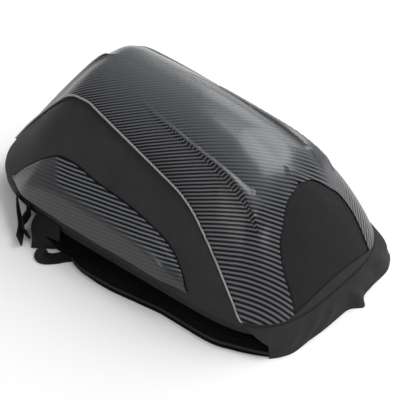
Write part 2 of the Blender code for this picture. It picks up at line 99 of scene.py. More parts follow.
# Fin: share of the body's length from the tail, shares of the half width at its two edges, share of its rise
FIN = [
    (0.40, 0.270, 0.30, 0.0), (0.50, 0.325, 0.36, 0.15), (0.62, 0.370, 0.41, 0.40), (0.72, 0.385, 0.44, 0.75),
    (0.80, 0.393, 0.49, 1.0), (0.845, 0.390, 0.54, 0.95), (0.872, 0.390, 0.56, 0.0),
]
# Padded strap: share of its length from the yoke, share of the overhang, share of its width
STRAP = [
    (0.0, 0.25, 0.70), (0.10, 0.55, 0.90), (0.20, 0.66, 1.0), (0.36, 0.60, 1.0), (0.46, 0.58, 1.0),
    (0.60, 0.74, 1.0), (0.77, 0.94, 0.95), (0.88, 0.95, 0.82), (0.96, 0.78, 0.60), (1.0, 0.58, 0.34),
]
# Loose webbing: share of its length, share round the rim, shares of its reach and of the rim's height, turn on edge
WEBBING_ROUTES = {
    "strap": [
        (0.0, 0.5995, 0.15, 0.03, 0.0), (0.25, 0.6087, 0.41, 0.03, 0.0), (0.50, 0.6153, 0.70, 0.03, 0.0),
        (0.72, 0.6255, 0.92, 0.13, 0.25), (0.88, 0.6340, 0.88, 0.23, 0.50), (1.0, 0.6415, 0.72, 0.23, 0.50),
    ],
    "corner": [
        (0.0, 0.7717, 0.05, 0.72, 1.0), (0.35, 0.7296, 0.36, 0.45, 0.8), (0.65, 0.7005, 0.62, 0.275, 0.8),
        (1.0, 0.673, 1.0, 0.275, 0.8),
    ],
    "tail": [
        (0.0, 0.7400, 0.045, 0.72, 1.0), (0.15, 0.7300, 0.06, 0.68, 1.0), (0.50, 0.7050, 0.50, 0.45, 1.0),
        (0.75, 0.6924, 0.61, 0.275, 0.8), (1.0, 0.6815, 0.62, 0.275, 0.8),
    ],
}
# Flap: share of the way down, share round the rim and of the reach at each edge, share of the rim's height
FLAP = [
    (0.0, 0.7094, 0.02, 0.650, 0.02, 0.74), (0.4, 0.6969, 0.34, 0.636, 0.20, 0.44),
    (0.75, 0.675, 0.57, 0.6325, 0.27, 0.20), (1.0, 0.6605, 0.78, 0.6392, 0.36, 0.0),
]
# Flap's thickness, and the way its face looks out
FLAP_THICKNESS = 0.0022
FLAP_FACING = (0.0, -0.64, 0.77)
# Fold of the inset's ribbed band: across it, along it, and where it runs and starts in those directions
INSET_FOLD = ((0.0916, -0.8131, 0.5749), (0.7462, -0.6651, -0.0278), -0.0617, -0.1794)
# Directions in which one rib of the shell follows another and in which they fan out
RIB_RISE = (-0.438, 0.522, 0.731)
RIB_AHEAD = (0.766, 0.643, 0.0)
# Ribs to a metre: along the rise, and what each axis adds
RIBS_PER_METRE = 219.0
RIBS_BY_AXIS = (-23.5, 28.0, -34.1)
# How the ribs spread along the rise and fan out ahead: offset along the rise, and strength
RIB_SPREAD = (-0.0919, 100.0)
RIB_FAN = (-0.1359, -260.0)
# Where the ribs of the right flank end and those of the left one begin
RIB_TURN_Y = 0.060
# Width of the fin's steep outer face, as a share of the half width
FIN_DROP = 0.022
WEBBING_REACH = 0.044
YOKE_SPAN = 0.2118
YOKE_SLANT = 0.044
STRAP_SPAN = (0.1740, 0.605)
STRAP_OVERHANG = 0.029
# Spans round the rim of the fabric side and of the piping, and along the body of the fin's outer face
SIDE_SPAN = (0.2065, 0.9285)
PIPING_SPAN = (0.2135, 0.9235)
FIN_FACE_SPAN = (0.53, 0.868)
ARCH_HALF_WIDTH, ARCH_HEIGHT = 0.079, 0.148
# Nose panel under the arch: its share round the rim and of the climb
NOSE_PANEL = (0.165, 0.80)
# How far the lumbar cushion lies nearer the nose than its solid, and how much further it reaches to each side
LUMBAR_SHIFT, LUMBAR_WIDENING = 0.008, 0.024
WEBBING_THICKNESS = 0.0016
# Place, width and reach of the yoke's pointed fold
YOKE_FOLD = (0.027, 0.011, 0.014)
# Camera: degrees round the pack and above it, its sensor, its aim beside and above the waist, and the photo's scale
CAMERA_AZIMUTH, CAMERA_ELEVATION = 40, 43
SENSOR_WIDTH = 36.0
CAMERA_AIM = (0.0005, 0.0411)
PHOTO_WIDTH, PIXELS_PER_METRE = 400, 737
SIDES = (("right", 1), ("left", -1))


def along(table, place, column=1):
    """Value of a table's column at a place in its first column, on a smooth curve with no overshoot."""
    keys = [row[0] for row in table]
    if place <= keys[0]:
        return table[0][column]
    if place >= keys[-1]:
        return table[-1][column]
    i = bisect.bisect_right(keys, place) - 1

    def slope(j):
        if j in (0, len(table) - 1):
            return 0.0
        before = (table[j][column] - table[j - 1][column]) / (keys[j] - keys[j - 1])
        after = (table[j + 1][column] - table[j][column]) / (keys[j + 1] - keys[j])
        return 0.0 if before * after <= 0 else 2 * before * after / (before + after)

    span = keys[i + 1] - keys[i]
    t = (place - keys[i]) / span
    low, high = table[i][column], table[i + 1][column]
    rise = (high - low) * t * t * (3 - 2 * t)
    return low + rise + span * (slope(i) * t * (1 - t) ** 2 - slope(i + 1) * t * t * (1 - t))


def eased(t):
    t = min(max(t, 0.0), 1.0)
    return t * t * (3 - 2 * t)


def rim_at(angle, widen=0.0):
    """Rim in plan at an angle from the nose round the right side, moved outwards by widen."""
    c, s = math.cos(angle), math.sin(angle)
    end, reach = ("nose", NOSE_REACH) if c >= 0 else ("tail", TAIL_REACH)
    square_x, square_y = RIM_SQUARENESS[end]
    x = math.copysign((reach + widen) * abs(c) ** (2 / square_x), c)
    return x, (HALF_WIDTH + widen) * abs(s) ** (2 / square_y)


def rim_lengths():
    """Angles round half the rim and the distance walked at each."""
    steps = 400
    ease = [(i / steps) ** 3 / 2 for i in range(steps)]
    ease += [1 - e for e in reversed(ease)] + [1.0]
    angles = sorted({math.pi / 2 * e for e in ease} | {math.pi / 2 * (1 + e) for e in ease})
    walked = [0.0]
    for before, after in zip(angles, angles[1:]):
        walked.append(walked[-1] + math.dist(rim_at(before), rim_at(after)))
    return angles, walked


RIM_ANGLES, RIM_WALKED = rim_lengths()


def rim_angle(share):
    """Plan angle at a share of the way round the rim, from nose to tail."""
    place = min(max(share, 0.0), 1.0) * RIM_WALKED[-1]
    i = min(max(bisect.bisect_right(RIM_WALKED, place) - 1, 0), len(RIM_WALKED) - 2)
    part = (place - RIM_WALKED[i]) / (RIM_WALKED[i + 1] - RIM_WALKED[i])
    return RIM_ANGLES[i] + part * (RIM_ANGLES[i + 1] - RIM_ANGLES[i])


def fin_rise(x, y, full):
    """Height that the moulded fin adds at a place in plan: a lip inside, a slope up, then a drop outside."""
    place = (x - WAIST_X + TAIL_REACH) / (TAIL_REACH + NOSE_REACH)
    if not FIN[0][0] < place < FIN[-1][0]:
        return 0.0
    inner, outer, rise = (along(FIN, place, column) for column in (1, 2, 3))
    out = abs(y) / HALF_WIDTH
    lip = eased((out - inner) / 0.014)
    slope = eased((out - inner) / (outer - inner))
    drop = eased((outer + FIN_DROP - out) / FIN_DROP)
    return full * rise * (0.38 * lip + 0.62 * slope) * drop


def hull(share, climb, fin=0.0):
    """Point of the outer form: share of the way round the rim on the right, share of the climb to the crown."""
    angle = rim_angle(share)
    x, y = rim_at(angle)
    length_share = (x + TAIL_REACH) / (TAIL_REACH + NOSE_REACH)
    crown_tail, crown_nose = TAIL_RUN - TAIL_REACH, NOSE_REACH - NOSE_RUN
    crown_x = crown_tail + length_share * (crown_nose - crown_tail)
    cosine = math.cos(angle)
    end = CLIMB_SHAPE["nose" if cosine >= 0 else "tail"]
    weight = eased((abs(cosine) - END_STARTS) / END_SPREAD)
    inward, upward = (s + (e - s) * weight for s, e in zip(CLIMB_SHAPE["side"], end))
    turn = climb * math.pi / 2
    gone = 1 - max(math.cos(turn), 0.0) ** (2 / inward)
    height = along(CROWN, length_share) * SHELL_HEIGHT * max(math.sin(turn), 0.0) ** (2 / upward)
    point = Vector((WAIST_X + x + (crown_x - x) * gone, -y * (1 - gone), RIM_HEIGHT + height))
    for spot_x, spot_y, reach, lift in TAIL_TOP:
        away = (point.x - WAIST_X - crown_tail - spot_x) ** 2 + (abs(point.y) - spot_y) ** 2
        point.z += lift * math.exp(-away / reach**2)
    if fin:
        point.z += fin_rise(point.x, point.y, fin)
    return point


def hull_out(share, climb):
    """Direction out of the form, at a right angle to it, and straight up along the crown."""
    if climb >= 1.0:
        return Vector((0.0, 0.0, 1.0))
    step = 0.004
    low, high = max(climb - step, 0.001), min(climb + step, 0.97)
    near, far = max(share - step, 0.0), min(share + step, 1.0)
    middle = min(max(climb, low), high)
    out = (hull(far, middle) - hull(near, middle)).cross(hull(share, high) - hull(share, low))
    if share in (0.0, 1.0) or climb >= 0.9:
        out.y = 0.0
    return -out.normalized() if out.dot(hull(share, middle) - Vector((WAIST_X, 0, 0))) < 0 else out.normalized()


def off_hull(share, climb, distance, fin=0.0):
    """Point off the form by a distance, and never under the rim."""
    point = hull(share, climb, fin) + hull_out(share, climb) * distance
    point.z = max(point.z, RIM_HEIGHT)
    return point


def beside_rim(share, out, height):
    """Place outside the right rim: share of the way round, shares of the webbing's reach and the rim's height."""
    x, y = rim_at(rim_angle(share), WEBBING_REACH * out)
    return Vector((WAIST_X + x, -y, RIM_HEIGHT * height))


def laid(columns, rows, inner, outer):
    """Closed solid between two surfaces: a grid laid on the inner one and extruded to the outer one."""
    bm = bmesh.new()
    bmesh.ops.create_grid(bm, x_segments=columns, y_segments=rows, size=0.5)
    across = bm.verts.layers.float.new("across")
    up = bm.verts.layers.float.new("up")
    for vert in bm.verts:
        vert[across], vert[up] = vert.co.x + 0.5, vert.co.y + 0.5
    grown = bmesh.ops.extrude_face_region(bm, geom=bm.faces[:], use_keep_orig=True)["geom"]
    lifted = {item for item in grown if isinstance(item, bmesh.types.BMVert)}
    for vert in bm.verts:
        vert.co = (outer if vert in lifted else inner)(vert[across], vert[up])
    bmesh.ops.remove_doubles(bm, verts=bm.verts[:], dist=1e-6)
    return bm


def mirrored(bm):
    """Adds the other half across the middle plane and closes the two into one solid."""
    flat = [face for face in bm.faces if all(abs(vert.co.y) < 1e-6 for vert in face.verts)]
    bmesh.ops.delete(bm, geom=flat, context="FACES")
    bmesh.ops.mirror(bm, geom=bm.faces[:] + bm.edges[:] + bm.verts[:], merge_dist=1e-6, axis="Y")
    return bm


def turned(bm, flip):
    """Leaves a right piece as it is, or turns it into its left twin."""
    if flip < 0:
        bmesh.ops.scale(bm, verts=bm.verts[:], vec=(1.0, -1.0, 1.0))
    return bm


def flipped(spots, flip):
    """Places or directions on the right, or their mirror images on the left."""
    return [Vector((spot[0], flip * spot[1], spot[2])) for spot in spots]


def shown(name, data, nodes):
    """Puts a finished mesh or curve in the scene, where it rides on the pack and stands for the CAD nodes."""
    obj = bpy.data.objects.new(name, data)
    bpy.context.scene.collection.objects.link(obj)
    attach(obj, "root")
    if nodes:
        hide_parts(*nodes)
    return obj


def piece(name, bm, materials, slot, *nodes, crease=40):
    """Makes a finished piece of a bmesh, with faces sharp where they meet at more than the crease angle."""
    bmesh.ops.recalc_face_normals(bm, faces=bm.faces[:])
    if bm.calc_volume(signed=True) < 0:
        bmesh.ops.reverse_faces(bm, faces=bm.faces[:])
    mesh = bpy.data.meshes.new(name)
    bm.to_mesh(mesh)
    bm.free()
    for material in materials:
        mesh.materials.append(finish_named(material))
    mesh.shade_smooth()
    mesh.set_sharp_from_angle(angle=math.radians(crease))
    return shown(name, mesh, nodes)


def tube(name, spots, radius, material, slot, *nodes):
    """Cord through some places, as a curve with a round section."""
    curve = bpy.data.curves.new(name, "CURVE")
    curve.dimensions = "3D"
    curve.bevel_depth = radius
    curve.bevel_resolution = 3
    curve.use_fill_caps = True
    spline = curve.splines.new("POLY")
    spline.points.add(len(spots) - 1)
    for point, spot in zip(spline.points, spots):
        point.co = (*spot, 1.0)
    curve.materials.append(finish_named(material))
    return shown(name, curve, nodes)


def stitch_row(bm, spots, pitch, length, width):
    """Adds a row of stitches, small raised bars along a line of places that each carry their outward direction."""
    walked = 0.0
    for (here, out), (ahead, _) in zip(spots, spots[1:]):
        step = ahead - here
        while walked < step.length:
            way = step.normalized()
            side = out.cross(way).normalized()
            turn = Matrix((way, side, out)).transposed().to_4x4()
            size = Matrix.Diagonal((length, width, width, 1.0))
            bmesh.ops.create_cube(bm, size=1.0, matrix=Matrix.Translation(here + way * walked) @ turn @ size)
            walked += pitch
        walked -= step.length


def linear(code):
    """Turns an sRGB hex colour into the linear colour that a shader takes."""
    parts = [int(code[i : i + 2], 16) / 255 for i in (1, 3, 5)]
    return (*[p / 12.92 if p <= 0.04045 else ((p + 0.055) / 1.055) ** 2.4 for p in parts], 1.0)


def add(tree, kind, values=None, **settings):
    """Adds a node with its settings. Values fill its inputs with numbers, colours or other nodes' outputs."""
    made = tree.nodes.new("ShaderNode" + kind)
    for key, value in settings.items():
        setattr(made, key, value)
    for socket, value in (values or {}).items():
        if isinstance(value, bpy.types.NodeSocket):
            tree.links.new(value, made.inputs[socket])
        else:
            made.inputs[socket].default_value = value
    return made


def start(name, roughness, **sockets):
    """New material with its shader's plain values set, its tree, its shader and the object coordinates."""
    material = bpy.data.materials.new(name)
    material.use_nodes = True
    tree = material.node_tree
    shader = tree.nodes["Principled BSDF"]
    shader.inputs["Roughness"].default_value = roughness
    for socket, value in sockets.items():
        shader.inputs[socket.replace("_", " ")].default_value = value
    return material, tree, shader, add(tree, "TexCoord").outputs["Object"]


def maths(tree, operation, *values):
    """Output of one sum on numbers or other nodes' outputs."""
    return add(tree, "Math", dict(enumerate(values)), operation=operation).outputs[0]


def ranged(tree, value, *ends):
    """Value carried from one range, given by its two ends, to another, which is 0 to 1 if it isn't given."""
    return add(tree, "MapRange", dict(enumerate((value, *ends)))).outputs[0]


def distance_along(tree, place, direction):
    """How far a place lies along a direction."""
    return add(tree, "VectorMath", {0: place, 1: direction}, operation="DOT_PRODUCT").outputs["Value"]


def blend(tree, share, *ends):
    """Colour between two others, each an sRGB code or another node's output."""
    low, high = (linear(end) if isinstance(end, str) else end for end in ends)
    return add(tree, "Mix", {0: share, 6: low, 7: high}, data_type="RGBA").outputs[2]


def stripes(tree, place, direction, spacing):
    """Wave from -1 to 1 along a direction, with its ridges a spacing apart in metres."""
    run = distance_along(tree, place, Vector(direction).normalized())
    return maths(tree, "SINE", maths(tree, "MULTIPLY", run, math.tau / spacing))


def beside_turn(tree, place):
    """Parts of a place, and its distance from the plane at the left fin where the ribs turn back."""
    spot = add(tree, "SeparateXYZ", {0: place}).outputs
    return spot, maths(tree, "ABSOLUTE", maths(tree, "SUBTRACT", spot["Y"], RIB_TURN_Y))


def fanned_ribs(tree, place):
    """Wave of the shell's ribs, which lie level along the flank and fan out towards the nose.

    They turn back at the left fin, so that the left flank's ribs mirror those before the turn.
    """
    spot, apart = beside_turn(tree, place)
    turned_y = maths(tree, "SUBTRACT", RIB_TURN_Y, apart)
    place = add(tree, "CombineXYZ", {0: spot["X"], 1: turned_y, 2: spot["Z"]}).outputs[0]
    up, ahead, level = (distance_along(tree, place, way) for way in (RIB_RISE, RIB_AHEAD, RIBS_BY_AXIS))
    over = maths(tree, "ADD", up, RIB_SPREAD[0])
    spread = maths(tree, "MULTIPLY", over, over)
    fan = maths(tree, "MULTIPLY", maths(tree, "ADD", up, RIB_FAN[0]), ahead)
    count = maths(tree, "MULTIPLY_ADD", up, RIBS_PER_METRE, level)
    count = maths(tree, "MULTIPLY_ADD", spread, RIB_SPREAD[1], count)
    count = maths(tree, "MULTIPLY_ADD", fan, RIB_FAN[1], count)
    return maths(tree, "SINE", maths(tree, "MULTIPLY", count, math.tau))


def ribbed_film(name, plain, ridge, groove, ribs_of, depth_of, width):
    """Satin film with ribs: how they run, where they are deep, and by how much they are wider than the grooves."""
    coat = 0.25
    material, tree, shader, place = start(name, 0.34, Coat_Weight=coat, Coat_Roughness=0.15)
    drift = add(tree, "TexNoise", {"Vector": place, "Scale": 30.0, "Detail": 2.0})
    shifted = add(tree, "VectorMath", {0: drift.outputs["Color"], 1: (0.0011,) * 3}, operation="MULTIPLY")
    moved = add(tree, "VectorMath", {0: place, 1: shifted.outputs[0]}, operation="ADD").outputs[0]
    teeth = stripes(tree, moved, (0.78, 0.62, 0.05), 0.0021)
    ragged = maths(tree, "MULTIPLY_ADD", teeth, 0.28, ribs_of(tree, moved))
    edges = {0: ragged, 1: -0.5 - width, 2: 0.5 - width}
    mask = add(tree, "MapRange", edges, interpolation_type="SMOOTHSTEP").outputs[0]
    depth, outside_painted_shade = depth_of(tree, place)
    colour = blend(tree, mask, blend(tree, depth, plain, groove), blend(tree, depth, plain, ridge))
    # Painted shade: the colour darkens towards near black where depth_of puts its painted shade
    tree.links.new(blend(tree, outside_painted_shade, "#020202", colour), shader.inputs["Base Color"])
    sunk = ranged(tree, mask, 0.0, 1.0, depth, 0.0)
    # The painted shade dims the sheen as well, and the grooves dim it by their depth
    open_share = ranged(tree, sunk, 0.0, 1.0, outside_painted_shade, 0.22)
    for socket, full in (("Specular IOR Level", 0.5), ("Coat Weight", coat)):
        tree.links.new(maths(tree, "MULTIPLY", open_share, full), shader.inputs[socket])
    relief = maths(tree, "MULTIPLY", mask, depth)
    bump = add(tree, "Bump", {"Height": relief, "Strength": 0.9, "Distance": 0.0010})
    tree.links.new(bump.outputs[0], shader.inputs["Normal"])
    return material


def shell_depth(tree, place):
    """Depth of the shell's ribs, whose bump fades on the crown, and the share outside a painted shade beside the
    piping. The depth also sets the ribs' colour contrast, so their stronger contrast on the steep sides is painted
    light and shade; the painted shade darkens the flanks towards the tail.
    """
    normal = add(tree, "NewGeometry").outputs["Normal"]
    facing = add(tree, "SeparateXYZ", {0: normal}).outputs["Z"]
    # Rib depth by facing: deep on the steep sides, shallow on the crown; besides the bump it sets the colour
    # contrast, which on the sides is painted light and shade
    side_depth_and_shade = ranged(tree, facing, 0.62, 0.93, 1.0, 0.20)
    across_ribs = ranged(tree, distance_along(tree, normal, RIB_RISE), 0.84, 0.95, 1.0, 0.0)
    spot, apart = beside_turn(tree, place)
    ribbed = maths(tree, "MULTIPLY", across_ribs, ranged(tree, apart, 0.003, 0.022, 0.0, 1.0))
    # Painted shade on the flanks beside the piping, fading out towards the nose
    flank = ranged(tree, maths(tree, "ABSOLUTE", spot["Y"]), 0.070, 0.108, 0.0, 0.85)
    behind = ranged(tree, spot["X"], 0.02, 0.11, 1.0, 0.0)
    dark = maths(tree, "MULTIPLY", flank, behind)
    return maths(tree, "MULTIPLY", side_depth_and_shade, ribbed), maths(tree, "SUBTRACT", 1.0, dark)


def both_sides(tree, place):
    """Place with its distance from the middle plane for Y, so that a pattern is the same on both sides."""
    spot = add(tree, "SeparateXYZ", {0: place}).outputs
    return add(tree, "CombineXYZ", {0: spot["X"], 1: maths(tree, "ABSOLUTE", spot["Y"]), 2: spot["Z"]}).outputs[0]


def inset_depth(tree, place):
    """Depth of the inset's ribs: full between the seam and a fold, faint on the pad and the facet below it."""
    flat = both_sides(tree, place)
    shares = []
    for way, edge, blur in zip(INSET_FOLD[:2], INSET_FOLD[2:], (0.004, 0.003)):
        shares.append(ranged(tree, distance_along(tree, flat, way), edge - blur, edge + blur))
    return ranged(tree, maths(tree, "MULTIPLY", *shares), 0.0, 1.0, 0.10, 1.0), 1.0


def full_depth(tree, place):
    """Ribs that are deep everywhere."""
    return 1.0, 1.0


def woven(name, light, dark, thread, relief=0.00025, roughness=0.7, shine=0.3):
    """Cloth of crossing threads, paler in patches where the same noise lifts its folds, soft and uneven."""
    material, tree, shader, place = start(name, roughness, Specular_IOR_Level=shine)
    warp = stripes(tree, place, (0.80, 0.55, 0.25), thread)
    weft = stripes(tree, place, (-0.45, 0.62, 0.64), thread)
    crossed = maths(tree, "MULTIPLY", warp, weft)
    patches = add(tree, "TexNoise", {"Vector": place, "Scale": 22.0, "Detail": 5.0, "Roughness": 0.6}).outputs[0]
    grain = add(tree, "TexNoise", {"Vector": place, "Scale": 900.0, "Detail": 2.0}).outputs[0]
    weight = maths(tree, "MULTIPLY_ADD", crossed, 0.16, patches)
    share = ranged(tree, maths(tree, "MULTIPLY_ADD", grain, 0.35, weight), 0.30, 1.05)
    tree.links.new(blend(tree, share, dark, light), shader.inputs["Base Color"])
    fine = add(tree, "Bump", {"Height": crossed, "Strength": 0.5, "Distance": relief})
    folds = add(tree, "Bump", {"Height": patches, "Strength": 0.6, "Distance": 0.0030, "Normal": fine.outputs[0]})
    tree.links.new(folds.outputs[0], shader.inputs["Normal"])
    return material


def reflective_tape(name):
    """Glass-bead tape rolled over a cord: pale grey with fine cross creases."""
    material, tree, shader, place = start(name, 0.42)
    share = ranged(tree, stripes(tree, place, (0.75, 0.30, 0.58), 0.0024), -1.0, 0.2)
    tree.links.new(blend(tree, share, "#5d5e60", "#98999a"), shader.inputs["Base Color"])
    bump = add(tree, "Bump", {"Height": share, "Strength": 0.4, "Distance": 0.0002})
    tree.links.new(bump.outputs[0], shader.inputs["Normal"])
    return material


def finish_named(name):
    """Material of that name, made the first time it is asked for."""
    if name not in bpy.data.materials:
        look = bpy.context.scene.backpack_looks

        def inset_ribs(tree, place):
            return stripes(tree, both_sides(tree, place), (-0.154, -0.533, 0.830), look.rib_spacing * 1.3)

        def fin_ribs(tree, place):
            return stripes(tree, both_sides(tree, place), (0.80, 0.45, -0.40), look.rib_spacing * 1.2)

        makers = {
            "embossed_carbon_film": lambda: ribbed_film(
                name, look.film_mean, look.film_ridge, look.film_groove, fanned_ribs, shell_depth, -0.15
            ),
            "moulded_inset_film": lambda: ribbed_film(
                name, look.pad, "#62666c", look.film_groove, inset_ribs, inset_depth, -0.30
            ),
            # Dark ribbed sheet for the fin's steep outer face: painted shade where that face drops away
            "fin_face_painted_shade": lambda: ribbed_film(
                name, "#0a0a0b", "#505154", "#020203", fin_ribs, full_depth, -0.40
            ),
            "coated_oxford_cloth": lambda: woven(name, look.cloth, "#19191b", 0.0016),
            "neoprene_nose": lambda: woven(name, "#1f1f21", "#161618", 0.0013, relief=0.0001, shine=0.2),
            "spacer_mesh": lambda: woven(
                name, "#0e0e10", "#050506", 0.0021, relief=0.0005, roughness=0.9, shine=0.06
            ),
            "binding_tape": lambda: woven(name, "#2b2b2f", "#161619", 0.0018, relief=0.0004, shine=0.2),
            "woven_webbing": lambda: woven(name, "#1e1e20", "#0c0c0e", 0.0022, relief=0.0005, shine=0.2),
            "seam_cord": lambda: woven(name, "#0d0d0e", "#060607", 0.0010, relief=0.0001, shine=0.1),
            "stitching_thread": lambda: woven(name, "#3a3a3d", "#1c1c1e", 0.0008, relief=0.0001),
            "reflective_tape": lambda: reflective_tape(name),
        }
        makers[name]()
    return bpy.data.materials[name]


class BackpackLooks(bpy.types.PropertyGroup):
    """Colours and scales of the finishes."""

    rib_spacing: bpy.props.FloatProperty(
        name="Rib spacing", description="Distance between the film's ribs", default=0.0042, subtype="DISTANCE"
    )
    film_ridge: bpy.props.StringProperty(name="Film ridge", description="sRGB colour of a rib", default="#55575b")
    film_groove: bpy.props.StringProperty(
        name="Film groove", description="sRGB colour between ribs", default="#0b0b0d"
    )
    film_mean: bpy.props.StringProperty(name="Film mean", description="sRGB colour on the crown", default="#424447")
    pad: bpy.props.StringProperty(name="Pad", description="sRGB colour of the smooth side pad", default="#1b1c1e")
    cloth: bpy.props.StringProperty(name="Cloth", description="sRGB colour of the fabric sides", default="#2a2a2d")


class BackpackSizes(bpy.types.PropertyGroup):
    """Sizes of the pieces."""

    shell_wall: bpy.props.FloatProperty(
        name="Shell wall", description="Thickness of the moulded shell", default=0.0026, subtype="DISTANCE"
    )
    fin_rise: bpy.props.FloatProperty(
        name="Fin rise", description="Height of the fins over the crown", default=0.0108, subtype="DISTANCE"
    )
    pad_rise: bpy.props.FloatProperty(
        name="Pad rise", description="How far the side's moulded pad stands out", default=0.0110, subtype="DISTANCE"
    )
    fabric_wall: bpy.props.FloatProperty(
        name="Fabric wall", description="Thickness of the fabric", default=0.0020, subtype="DISTANCE"
    )
    piping: bpy.props.FloatProperty(
        name="Piping", description="Diameter of the reflective piping", default=0.0028, subtype="DISTANCE"
    )
    strap_width: bpy.props.FloatProperty(
        name="Strap width", description="Width of a padded strap", default=0.066, subtype="DISTANCE"
    )
    webbing_width: bpy.props.FloatProperty(
        name="Webbing width", description="Width of the loose webbing", default=0.020, subtype="DISTANCE"
    )
    camera_distance: bpy.props.FloatProperty(
        name="Camera distance", description="Distance from camera to pack", default=4.75, subtype="DISTANCE"
    )


def arch_prism(margin):
    """Solid along X with the pointed arch for its outline."""
    steps = 40
    half, height = ARCH_HALF_WIDTH + margin, ARCH_HEIGHT + margin
    right = [(half, -0.02)] + [(half * along(ARCH, i / steps), height * i / steps) for i in range(steps + 1)]
    outline = [(-y, z) for y, z in right] + [(y, z) for y, z in reversed(right[:-1])]
    bm = bmesh.new()
    x = WAIST_X + NOSE_REACH - NOSE_RUN * 1.15
    face = bm.faces.new([bm.verts.new((x, y, RIM_HEIGHT + z)) for y, z in outline])
    grown = bmesh.ops.extrude_face_region(bm, geom=[face], use_keep_orig=True)["geom"]
    moved = [item for item in grown if isinstance(item, bmesh.types.BMVert)]
    bmesh.ops.translate(bm, verts=moved, vec=(2 * NOSE_RUN, 0, 0))
    bmesh.ops.recalc_face_normals(bm, faces=bm.faces[:])
    return bm


class BACKPACK_OT_shell(bpy.types.Operator):
    """Moulded shell with its two fins and the arch cut in its nose"""

    bl_idname = "backpack.shell"
    bl_label = "Shell"

    def execute(self, context):
        sizes = context.scene.backpack_sizes

        def place(a, u, distance, fin):
            seam = along(SHELL_SEAM, a)
            point = off_hull(a, seam + (1 - seam) * u**1.2, distance, fin)
            if u == 1.0 or a in (0.0, 1.0):
                point.y = 0.0
            return point

        wall, fin = sizes.shell_wall, sizes.fin_rise
        bm = laid(190, 80, lambda a, u: place(a, u, -wall, 0.0), lambda a, u: place(a, u, 0.0, fin))
        bm = mirrored(bm)
        cover = BVHTree.FromBMesh(bm)
        obj = piece("shell_film", bm, ("embossed_carbon_film",), "carbon_film", "shell", crease=30)
        prism = bpy.data.meshes.new("arch_prism")
        cutter_bm = arch_prism(0.0006)
        cutter_bm.to_mesh(prism)
        cutter_bm.free()
        cutter = bpy.data.objects.new("arch_prism", prism)
        context.scene.collection.objects.link(cutter)
        cut = obj.modifiers.new("arch", "BOOLEAN")
        cut.object = cutter
        cut.operation = "DIFFERENCE"
        cut.solver = "MANIFOLD"
        context.view_layer.update()
        cut_mesh = bpy.data.meshes.new_from_object(obj.evaluated_get(context.evaluated_depsgraph_get()))
        obj.modifiers.clear()
        obj.data = cut_mesh
        bpy.data.objects.remove(cutter, do_unlink=True)

        def fin_face(a, u, distance):
            where = FIN_FACE_SPAN[0] + (FIN_FACE_SPAN[1] - FIN_FACE_SPAN[0]) * a
            share = along(FIN, where, 2) + FIN_DROP * (u - 0.12) * min(along(FIN, where, 3) * 1.25, 1.0)
            x = WAIST_X - TAIL_REACH + (TAIL_REACH + NOSE_REACH) * where
            spot, out = cover.ray_cast(Vector((x, -HALF_WIDTH * share, 0.5)), Vector((0.0, 0.0, -1.0)))[:2]
            return spot + (out if out.z > 0 else -out) * distance

        # Dark sheets over the fins' steep outer faces, standing for the shade on those faces: painted shade
        for name, flip in SIDES:
            bm = laid(90, 5, lambda a, u: fin_face(a, u, -0.0004), lambda a, u: fin_face(a, u, 0.0004))
            piece(f"fin_edge_{name}", turned(bm, flip), ("fin_face_painted_shade",), "carbon_film")
        return {"FINISHED"}


